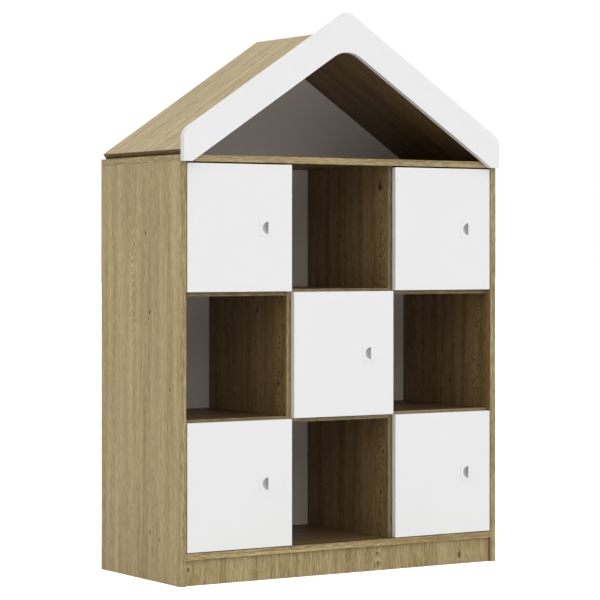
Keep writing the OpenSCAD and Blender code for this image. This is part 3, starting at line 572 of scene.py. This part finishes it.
def make_hardboard():
    material, tree, shader = new_material("hardboard_back")
    place = add(tree, "TexCoord").outputs["Object"]
    fibres = noise(tree, place, FIBRE_SCALE, detail=4.0, roughness=0.75)
    fibres = remap(tree, fibres, *SOFT_EDGE)
    blotches = remap(tree, noise(tree, place, BLOTCH_SCALE, detail=3.0), *SOFT_EDGE)
    specks = remap(tree, noise(tree, place, SPECK_SCALE), *SPECK_EDGE)
    colour = blend_colour(tree, fibres, FIBRE_PALE, FIBRE_DARK)
    share = calc(tree, "MULTIPLY", blotches, BLOTCH_SHARE)
    colour = blend_colour(tree, share, colour, BLOTCH)
    share = calc(tree, "MULTIPLY", specks, SPECK_SHARE)
    colour = blend_colour(tree, share, colour, SPECK)
    tree.links.new(colour, shader.inputs["Base Color"])
    shader.inputs["Roughness"].default_value = HARDBOARD_ROUGHNESS
    inputs = {"Height": fibres, "Distance": FIBRE_DEPTH, "Strength": FIBRE_BUMP}
    tree.links.new(add(tree, "Bump", inputs).outputs[0], shader.inputs["Normal"])
    return material


hardboard = make_hardboard()

# %% [markdown]
# ## Fittings
# Hinges, bolts and screws are steel with a thin plating: nickel is a little warm, zinc a
# little blue. The plating keeps fine lines of the rolled sheet, and handling leaves soft
# clouds. A full metal with a noise drawn out along one axis shows both. The dowels are raw
# turned beech, with the grain along them, and the bumpers are milky soft plastic that lets
# some light in.

# %% Plated steel
BRUSHING = (60.0, 2200.0, 2200.0)
WEAR_SCALE = (120.0, 120.0, 120.0)
BRUSH_RANGE = (0.25, 0.75)
METAL_SPREAD = 0.03
BRUSH_DEPTH = 0.000003
BRUSH_BUMP = 0.2


def plated(name, colour, worn, roughness):
    material, tree, shader = new_material(name)
    place = add(tree, "TexCoord").outputs["Object"]
    lines = noise(tree, place, BRUSHING, detail=3.0, roughness=0.6)
    clouds = noise(tree, place, WEAR_SCALE, detail=3.0)
    tree.links.new(blend_colour(tree, clouds, colour, worn), shader.inputs["Base Color"])
    shader.inputs["Metallic"].default_value = 1.0
    ends = (roughness - METAL_SPREAD, roughness + METAL_SPREAD)
    uneven = remap(tree, lines, *BRUSH_RANGE, *ends)
    tree.links.new(uneven, shader.inputs["Roughness"])
    inputs = {"Height": lines, "Distance": BRUSH_DEPTH, "Strength": BRUSH_BUMP}
    tree.links.new(add(tree, "Bump", inputs).outputs[0], shader.inputs["Normal"])
    return material


nickel = plated("nickel_plate", rgb(232, 229, 223), rgb(220, 217, 211), roughness=0.34)
zinc = plated("zinc_plate", rgb(218, 221, 226), rgb(200, 204, 210), roughness=0.40)
print("plated steel:", nickel.name, zinc.name)

# %% Beech and bumper plastic
def two_tone(name, scale, first, second, detail, roughness):
    """A small part's finish: one noise blends two tones."""
    material, tree, shader = new_material(name)
    place = add(tree, "TexCoord").outputs["Object"]
    colour = blend_colour(tree, noise(tree, place, scale, detail), first, second)
    tree.links.new(colour, shader.inputs["Base Color"])
    shader.inputs["Roughness"].default_value = roughness
    return material


BEECH_GRAIN = (300.0, 300.0, 60.0)
MILK_SCALE = (400.0, 400.0, 400.0)
# How much of the light goes into the milky plastic, and how far, for red, green and blue
MILK_SHARE = 0.3
MILK_DEPTH = (0.002, 0.002, 0.002)
beech = two_tone("turned_beech", BEECH_GRAIN, rgb(214, 182, 136), rgb(188, 150, 102),
                 detail=3.0, roughness=0.7)
bumper_plastic = two_tone("bumper_plastic", MILK_SCALE, rgb(226, 228, 228), rgb(212, 215, 216),
                          detail=2.0, roughness=0.35)
milky = bumper_plastic.node_tree.nodes["Principled BSDF"]
milky.inputs["Subsurface Weight"].default_value = MILK_SHARE
milky.inputs["Subsurface Radius"].default_value = MILK_DEPTH
print("small finishes:", beech.name, bumper_plastic.name)

# %% [markdown]
# ## Dressing a board
# A board from the frame has the right size and every bore, but perfectly sharp edges. On the
# real one a thin plastic strip is glued round the edges, and its corners are milled to a small
# radius that catches the light. A Bevel modifier would round the rims of the bores as well.
# So each board is copied, its loose triangles are welded and dissolved into whole faces, and
# only the long outer arrises are bevelled, which leaves the bores crisp.

# %% Weld and soften
ARRIS = 0.0006
# Vertices nearer than this are one, and faces that bend less than this are one
WELD = 1e-6
FLAT_ANGLE = math.radians(0.3)
# An arris bends more than this, and is longer than any side of a bore's rim
CORNER_ANGLE = math.radians(25)
LONG_EDGE = 0.010


def welded_copy(node):
    shape = bmesh.new()
    shape.from_mesh(frame["nodes"][node].data)
    bmesh.ops.remove_doubles(shape, verts=shape.verts, dist=WELD)
    bmesh.ops.dissolve_limit(
        shape, angle_limit=FLAT_ANGLE, verts=shape.verts, edges=shape.edges)
    return shape


def is_arris(edge, shortest):
    long_enough = edge.calc_length() > shortest
    corner = len(edge.link_faces) == 2 and edge.calc_face_angle() > CORNER_ANGLE
    return long_enough and corner and edge.is_convex


def soften(shape, radius, segments=2, shortest=LONG_EDGE):
    edges = [edge for edge in shape.edges if is_arris(edge, shortest)]
    bmesh.ops.bevel(shape, geom=edges, offset=radius, offset_type="OFFSET", segments=segments,
                    profile=0.5, affect="EDGES", clamp_overlap=False, material=-1)
    return len(edges)


# %% Turn a shape into a piece
SMOOTH_ANGLE = math.radians(20)


def body_of(node):
    bodies = frame["record"]["behaviour"]["bodies"]
    return next(body for body, members in bodies.items() if node in members)


def finish_piece(shape, name, materials, node, smooth=False):
    """A named piece that stands for a node and moves with its body."""
    mesh = bpy.data.meshes.new(name)
    shape.to_mesh(mesh)
    shape.free()
    for material in materials:
        mesh.materials.append(material)
    mesh.polygons.foreach_set("use_smooth", [smooth] * len(mesh.polygons))
    if smooth:
        mesh.set_sharp_from_angle(angle=SMOOTH_ANGLE)
    piece = bpy.data.objects.new(name, mesh)
    bpy.context.scene.collection.objects.link(piece)
    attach(piece, body_of(node))
    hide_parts(node)
    return piece


# %% [markdown]
# Each face of a board then gets the skin, the strip or the raw core. Picking them by hand
# would have to be done again after every change of the frame, so they are told by where they
# lie. A flat face on the outside, across the board's thickness, is skin. Any other face on
# the outside is strip. What lies deeper is the wall or the floor of a bore, and is core.

# %% Skin, strip or core
SKIN, STRIP, CORE, INNER, END, RIDGE_END = range(6)
LOW_SIDE, HIGH_SIDE = -1, 1
# A face is flat to an axis when this much of its normal lies along it
FLAT_SHARE = 0.999
# An edge face of a shaped board spans at least this much of the thickness
EDGE_SPAN = 0.8


def on_rim(face, thin, low, high):
    """Whether an edge face of a shaped, level board is strip, not the wall of a bore."""
    reach = [vert.co[thin] for vert in face.verts]
    wide = max(reach) - min(reach) > EDGE_SPAN * (high[thin] - low[thin])
    middle = face.calc_center_median()[thin]
    return wide or min(middle - low[thin], high[thin] - middle) < ARRIS


def skin_faces(shape, thin, turn=0.0, shaped=False, inner=(), grain=None, ridge=0):
    """Give each face the skin, the strip or the core. thin is the axis through the board,
    turn tips a sloping board level first, and a shaped board's outline isn't a rectangle.
    inner names the sides that look into a compartment. grain is the axis of the strip's
    grain, across whose ends another strip is glued, and ridge is the side of a roof board's
    ridge."""
    level = Matrix.Rotation(turn, 3, "Y")
    points = [level @ vert.co for vert in shape.verts]
    low = [min(point[i] for point in points) for i in range(3)]
    high = [max(point[i] for point in points) for i in range(3)]
    for face in shape.faces:
        normal = level @ face.normal
        centre = level @ face.calc_center_median()
        axis = max(range(3), key=lambda i: abs(normal[i]))
        if shaped and abs(normal[thin]) < FLAT_SHARE:
            face.material_index = STRIP if on_rim(face, thin, low, high) else CORE
            continue
        outside = min(centre[axis] - low[axis], high[axis] - centre[axis]) < 2 * ARRIS
        side = HIGH_SIDE if normal[axis] > 0 else LOW_SIDE
        if not outside:
            face.material_index = CORE
        elif axis == thin and abs(normal[axis]) > FLAT_SHARE:
            face.material_index = INNER if side in inner else SKIN
        elif axis == grain:
            face.material_index = RIDGE_END if side == ridge else END
        else:
            face.material_index = STRIP


def dress_board(node, thin, materials, shaped=False, **places):
    shape = welded_copy(node)
    softened = soften(shape, ARRIS)
    skin_faces(shape, thin, shaped=shaped, **places)
    piece = finish_piece(shape, node + "_board", materials, node, smooth=shaped)
    print(piece.name, "softened edges:", softened, "faces:", len(piece.data.polygons))


print("a board is dressed by dress_board(node, thin, materials)")

# %% [markdown]
# ## The oak boards
# The grain runs up the side panels and dividers, along the shelves, top and bottom boards,
# and up the slope of the roof. The plinths are cut across a leftover panel, so their grain
# stands upright. An edge strip is cut from a long roll, so its grain always runs along its
# edge. The photo's room lights the compartments less than this even sky does, so the faces
# that look into them have the same print in darker, warmer shades.

# %% Painted shade of the compartments, and the strips
# Painted shade: darker, warmer colours that multiply the print of faces inside the compartments
# and under the roof
INNER_PAINTED_SHADE = (0.52, 0.43, 0.36, 1.0)
ROOF_PAINTED_SHADE = (0.42, 0.34, 0.29, 1.0)
BOARD_PAINTED_SHADE = (0.32, 0.26, 0.24, 1.0)
SHELF_PAINTED_SHADE = (0.23, 0.18, 0.16, 1.0)
INNER_CONTRAST = 1.6
STRIP_LIGHT = 0.88
STRIP_TINT = (1.0, 0.99, 0.96)
STRIP_CONTRAST = 1.7


def plain_and_shaded_print(name, along, across, heart, knots=(), painted_shade=INNER_PAINTED_SHADE, contrast=1.0,
               **more):
    """The same board print plain, and with painted shade for the faces inside the compartments.
    """
    plain = oak(name, along, across, heart, knots, contrast=contrast, **more)
    dark = oak(name + "_inner", along, across, heart, knots, shade=painted_shade,
               contrast=INNER_CONTRAST, **more)
    return plain, dark


def strip(name, along, across, light=STRIP_LIGHT, **more):
    """Edge strip: the same print along the edge, with more contrast and a little darker."""
    shade = (*(light * part for part in STRIP_TINT), 1.0)
    return oak(name, along, across, NO_FLAME, shade=shade, contrast=STRIP_CONTRAST, **more)


print("the compartments have", INNER_PAINTED_SHADE[:3], "of the plain print")

# %% [markdown]
# ### Side panels and dividers
# A side panel looks into a compartment with one face and a divider with both. Each of the four
# has its own flame figure, the lightness of its front strip, and its knots. That lightness is
# painted light and shade: the dividers' strips, which stand between the doors, are painted
# darkest. Where the photo shows no face of a board, the figure and the knots are free.

# %% Oak for the uprights
UPRIGHT_CONTRAST = 0.82
# The strip value is the lightness of a board's front strip: painted light and shade
UPRIGHTS = {
    "left_side_panel": {
        "heart": (0.80, 0.054, 0), "inner": (HIGH_SIDE,), "strip": 0.92,
        "knots": ((0.950, -0.024, 0.0040), (0.734, -0.047, 0.0044), (0.718, -0.043, 0.0032),
                  (0.527, -0.160, 0.0034), (0.132, -0.049, 0.0040), (0.115, -0.099, 0.0034))},
    "right_side_panel": {
        "heart": (0.60, -0.14, 0), "inner": (LOW_SIDE,), "strip": STRIP_LIGHT,
        "knots": ((0.690, -0.150, 0.0040), (0.520, -0.020, 0.0040))},
    "left_divider": {
        "heart": (0.56, -0.172, 0), "inner": (LOW_SIDE, HIGH_SIDE), "strip": 0.66,
        "knots": ((0.734, -0.043, 0.0050), (0.531, -0.154, 0.0052))},
    "right_divider": {
        "heart": (0.94, -0.176, 0), "inner": (LOW_SIDE, HIGH_SIDE), "strip": 0.45,
        "knots": ((1.086, -0.158, 0.0085), (1.094, 0.055, 0.0050), (0.330, -0.172, 0.0040))},
}
upright_end = strip("oak_strip_across", "y", "x")
for node, look in UPRIGHTS.items():
    plain, dark = plain_and_shaded_print(
        "oak_" + node, "z", "y", look["heart"], look["knots"], contrast=UPRIGHT_CONTRAST)
    edge = strip("oak_strip_" + node, "z", "x", look["strip"])
    skins = [plain, edge, chipboard, dark, upright_end]
    dress_board(node, AXES["x"], skins, inner=look["inner"], grain=AXES["z"])

# %% [markdown]
# ### Shelves, top and bottom board
# These lie level, with the grain from side to side. Only their front strips show much. Their
# lightness is painted light and shade: the short shelves' strips stand back between two doors,
# where less light comes in, and are painted darker. The top board has a compartment below it and
# the gable's open space above, so both its faces are inner, with painted shade.

# %% Oak for the level boards
# The heart of each flame lies this far behind the middle of its board
FLAME_BACK = 0.05
level_end = strip("oak_strip_level_end", "y", "z")
# Painted light and shade: each strip's lightness is set for the light at its place, darkest for
# the shelves' strips between the doors
shelf_strip = strip("oak_strip_shelf", "x", "z", 0.55)
base_strip = strip("oak_strip_base", "x", "z", 0.98)
top_strip = strip("oak_strip_top", "x", "z", 0.83)
LONG_BOARDS = {
    "top_board": {
        "flame": 0.10, "inner": (LOW_SIDE, HIGH_SIDE), "strip": top_strip,
        "knots": ((-0.30, -0.10, 0.005),)},
    "bottom_board": {
        "flame": 0.02, "inner": (HIGH_SIDE,), "strip": base_strip,
        "knots": ((0.02, 0.05, 0.005), (-0.1, -0.08, 0.004))},
}
SHELF_FLAMES = {
    "lower_left_shelf": -0.36, "lower_centre_shelf": 0.05, "lower_right_shelf": 0.30,
    "upper_left_shelf": -0.30, "upper_centre_shelf": -0.02, "upper_right_shelf": 0.36,
}


def dress_level(node, flame, inner, edge, knots, painted_shade):
    heart = (flame, FLAME_BACK, 0)
    plain, dark = plain_and_shaded_print("oak_" + node, "x", "y", heart, knots, painted_shade)
    skins = [plain, edge, chipboard, dark, level_end]
    dress_board(node, AXES["z"], skins, inner=inner, grain=AXES["x"])


for node, look in LONG_BOARDS.items():
    dress_level(node, look["flame"], look["inner"], look["strip"], look["knots"], BOARD_PAINTED_SHADE)
for node, flame in SHELF_FLAMES.items():
    dress_level(node, flame, (LOW_SIDE, HIGH_SIDE), shelf_strip, (), SHELF_PAINTED_SHADE)

# %% [markdown]
# ### Plinths
# The plinths stand on the floor under the bottom board and keep the side panels apart. Both
# use one finish. Knots are the same all through a board's thickness, so the rear plinth
# repeats those of the front one.

# %% Oak for the plinths
PLINTH_HEART = (0.02, 0.119, 0)
PLINTH_KNOTS = ((0.044, -0.498, 0.0036), (0.021, 0.119, 0.0040), (0.049, 0.116, 0.0030),
                (0.025, 0.402, 0.0060))
# Painted shade: the plinths stand back under the bottom board, and their print is multiplied
# darker and greyer
PLINTH_PAINTED_SHADE = (0.86, 0.85, 0.82, 1.0)
PLINTH_CONTRAST = 1.2
plinth_skin = oak("oak_plinth", "z", "x", PLINTH_HEART, PLINTH_KNOTS, shade=PLINTH_PAINTED_SHADE,
                  contrast=PLINTH_CONTRAST)
for node in ("front_plinth", "rear_plinth"):
    dress_board(node, AXES["y"], [plinth_skin, base_strip, chipboard])

# %% [markdown]
# ### Roof
# The two roof boards are level boards tipped about Y. Their print has to follow the slope, so
# its coordinates are tipped by the same angle, which is read from the largest face of the left
# board and taken the other way for the right one. Another way is to turn a level object, but a
# finished piece stays unturned.

# %% Oak for the roof
# The eave faces down and outwards, and its print is painted as dark and warm as the
# compartments: painted shade
EAVE_PAINTED_SHADE = (0.37, 0.29, 0.20, 1.0)
ROOF_HEART = (0.2, -0.06, 0)


def slope_of(node):
    """The slope of a roof board, from the largest of its faces."""
    widest = max(frame["nodes"][node].data.polygons, key=lambda face: face.area)
    return math.atan(abs(widest.normal.x / widest.normal.z))


def dress_roof(node, tip, ridge):
    plain, dark = plain_and_shaded_print(
        "oak_" + node, "x", "y", ROOF_HEART, painted_shade=ROOF_PAINTED_SHADE, turn=tip)
    edge = strip("oak_strip_" + node, "x", "z", turn=tip)
    eave = oak("oak_eave_" + node, "y", "z", shade=EAVE_PAINTED_SHADE, contrast=STRIP_CONTRAST, turn=tip)
    top = strip("oak_ridge_" + node, "y", "z", turn=tip)
    skins = [plain, edge, chipboard, dark, eave, top]
    dress_board(node, AXES["z"], skins, turn=tip, inner=(LOW_SIDE,), grain=AXES["x"],
                ridge=ridge)


slope = slope_of("left_roof_panel")
dress_roof("left_roof_panel", slope, HIGH_SIDE)
dress_roof("right_roof_panel", -slope, LOW_SIDE)
print("the roof slopes by", round(math.degrees(slope), 2), "degrees")

# %% [markdown]
# ## The white boards
# The gable and its front are the same board in white. Their round corners are already in the
# frame, so only the arrises need softening. Their outlines are no rectangles, so the strip can't
# be told by the board's box, and they are dressed as shaped boards. The front face of the gable
# back panel lies in the shade of the roof, and has a warmer white raised against that shade:
# painted light.

# %% White gable
for node, inner in (("gable_back_panel", (LOW_SIDE,)), ("gable_fascia", ())):
    skins = [white_melamine, white_strip, chipboard, gable_white_painted_light]
    dress_board(node, AXES["y"], skins, shaped=True, inner=inner)

# %% [markdown]
# ## Back panels
# The back panels are 3 mm sheets that slide into grooves. They are sawn and not edged, so they
# need no strip and no softening: a face that looks to the front is painted white, darkened and
# warmed by painted shade, and all others are hardboard.

# %% Back panels
LOOKS_FRONT = -0.5
for column in ("left", "centre", "right"):
    node = column + "_back_panel"
    shape = welded_copy(node)
    for face in shape.faces:
        face.material_index = 0 if face.normal.y < LOOKS_FRONT else 1
    finish_piece(shape, node + "_sheet", [back_white_painted_shade, hardboard], node)
print("back panels: white in front, hardboard behind")

# %% [markdown]
# ## Doors
# A door is a plain white board. The walls of its two hinge cup bores and of its pull's hole
# stay raw chipboard. It rides on its own body, so it swings with all that is fixed to it.

# %% Doors
DOORS = ("top_left", "top_right", "centre", "bottom_left", "bottom_right")
for door in DOORS:
    dress_board(door + "_door", AXES["y"], [white_melamine, white_strip, chipboard])

# %% [markdown]
# ## Pulls
# A pull is a moulded shell pressed into a hole of the door: a square face plate with a half moon
# mouth, and a pocket behind it for the fingertips. Moulded parts have no sharp edges, so every
# edge is softened. The pocket gets its own duller material from the mouth inwards, painted
# greyer as painted shade, which shows better than the shadow alone how deep it is.

# %% Pulls
FINE_EDGE = 0.0004
SMALL_RADIUS = 0.00035
MOUTH_DEPTH = 0.0012


def dress_pull(node):
    shape = welded_copy(node)
    soften(shape, SMALL_RADIUS, shortest=FINE_EDGE)
    front = min(vert.co.y for vert in shape.verts)
    # Faces behind the mouth get the pocket's painted shade
    for face in shape.faces:
        face.material_index = int(face.calc_center_median().y > front + MOUTH_DEPTH)
    return finish_piece(shape, node + "_fine", [pull_plastic, pull_inside_painted_shade], node, smooth=True)


for door in DOORS:
    piece = dress_pull(door + "_pull")
    print(piece.name, "faces:", len(piece.data.polygons))

# %% [markdown]
# ## Screws
# A screw head needs the cross recess that a driver turns. The flat top of each head is the
# largest round face of its screw, and its area gives the head's radius. The cross is two
# slots. One cutter with both would cross itself, which a boolean takes badly, so each slot
# is a cutter of its own.

# %% Find the screw heads
# A face with more corners than this is round
ROUND_CORNERS = 8


def islands(shape):
    """The separate solids of a shape, each as a list of faces."""
    left = set(shape.faces)
    for start in shape.faces:
        if start not in left:
            continue
        left.remove(start)
        found, waiting = [], [start]
        while waiting:
            face = waiting.pop()
            found.append(face)
            near = {other for edge in face.edges for other in edge.link_faces} & left
            left -= near
            waiting.extend(near)
        yield found


def head_faces(shape):
    """The flat top of each screw's head: the largest round face of each solid."""
    for solid in islands(shape):
        round_faces = [face for face in solid if len(face.verts) > ROUND_CORNERS]
        if round_faces:
            yield max(round_faces, key=lambda face: face.calc_area())


print("a screw head has more than", ROUND_CORNERS, "corners")

# %% Cut the cross recesses
# Parts of the head's diameter
CROSS_REACH, CROSS_WIDTH, CROSS_DEPTH = 0.55, 0.16, 0.35


def slot_cutter(heads, turn):
    """One slot across every head, as a mesh of separate blocks."""
    cutter = bmesh.new()
    spin = Matrix.Rotation(math.radians(turn), 4, "Z")
    for middle, facing, radius in heads:
        place = Matrix.Translation(middle) @ facing.to_matrix().to_4x4() @ spin
        block = (2 * CROSS_REACH * radius, 2 * CROSS_WIDTH * radius, 2 * CROSS_DEPTH * radius)
        bmesh.ops.create_cube(cutter, size=1.0, matrix=place @ Matrix.Diagonal((*block, 1.0)))
    mesh = bpy.data.meshes.new("slot_cutter")
    cutter.to_mesh(mesh)
    cutter.free()
    return mesh


def cut_away(shape, cutter_meshes):
    """Take each cutter from the shape, by boolean modifiers on throwaway objects."""
    mesh = bpy.data.meshes.new("whole")
    shape.to_mesh(mesh)
    whole = bpy.data.objects.new("whole", mesh)
    cutters = [bpy.data.objects.new("cutter", part) for part in cutter_meshes]
    for thing in [whole] + cutters:
        bpy.context.scene.collection.objects.link(thing)
    for cutter in cutters:
        boolean = whole.modifiers.new("recess", "BOOLEAN")
        boolean.operation = "DIFFERENCE"
        boolean.object = cutter
    seen = whole.evaluated_get(bpy.context.evaluated_depsgraph_get())
    shape.clear()
    shape.from_mesh(seen.data)
    for thing in [whole] + cutters:
        bpy.data.objects.remove(thing)


print("a slot is", round(100 * CROSS_WIDTH), "% of the head wide")

# %% Dress the screws
def dress_screws(node):
    shape = welded_copy(node)
    heads = []
    for face in head_faces(shape):
        radius = math.sqrt(face.calc_area() / math.pi)
        facing = face.normal.to_track_quat("Z", "Y")
        heads.append((face.calc_center_bounds(), facing, radius))
    soften(shape, SMALL_RADIUS, shortest=FINE_EDGE)
    cut_away(shape, [slot_cutter(heads, turn) for turn in (0, 90)])
    piece = finish_piece(shape, node + "_fine", [zinc], node, smooth=True)
    print(piece.name, "crosses:", len(heads), "faces:", len(piece.data.polygons))


for node in ["base_screws", "plate_screws"] + [door + "_cup_screws" for door in DOORS]:
    dress_screws(node)

# %% [markdown]
# ## Hinges, cam fittings, dowels and nails
# A concealed hinge is stamped steel: a cup in the door, an arm in the cabinet and a mounting
# plate under the arm. Cams and bolts are cast and turned. None of these has a knife edge, and
# a small radius on every edge is what makes metal look real, because it always catches some
# light. Hinge pins and bumpers are rounder than the rest: a pin's ends are domed, and a
# bumper is a drop of plastic.

# %% Small fittings
FINISHES = {
    "cam_locks": zinc, "cam_bolts": nickel, "double_cam_bolts": nickel, "dowels": beech,
    "back_nails": zinc, "hinge_plates": nickel, "hinge_arms": nickel,
}


def dress_small(node, material, radius=SMALL_RADIUS, segments=2, shortest=FINE_EDGE):
    shape = welded_copy(node)
    softened = soften(shape, radius, segments, shortest)
    piece = finish_piece(shape, node + "_fine", [material], node, smooth=True)
    print(piece.name, "softened edges:", softened, "faces:", len(piece.data.polygons))


for node, material in FINISHES.items():
    dress_small(node, material)
for door in DOORS:
    dress_small(door + "_hinge_cups", nickel)

# %% Hinge pins and domed bumpers
TINY_EDGE = 0.0001
PIN_ROUND, BUMPER_ROUND = 0.0003, 0.0009
for door in DOORS:
    dress_small(door + "_hinge_pins", nickel, PIN_ROUND, shortest=TINY_EDGE)
    dress_small(door + "_bumpers", bumper_plastic, BUMPER_ROUND, 4, TINY_EDGE)
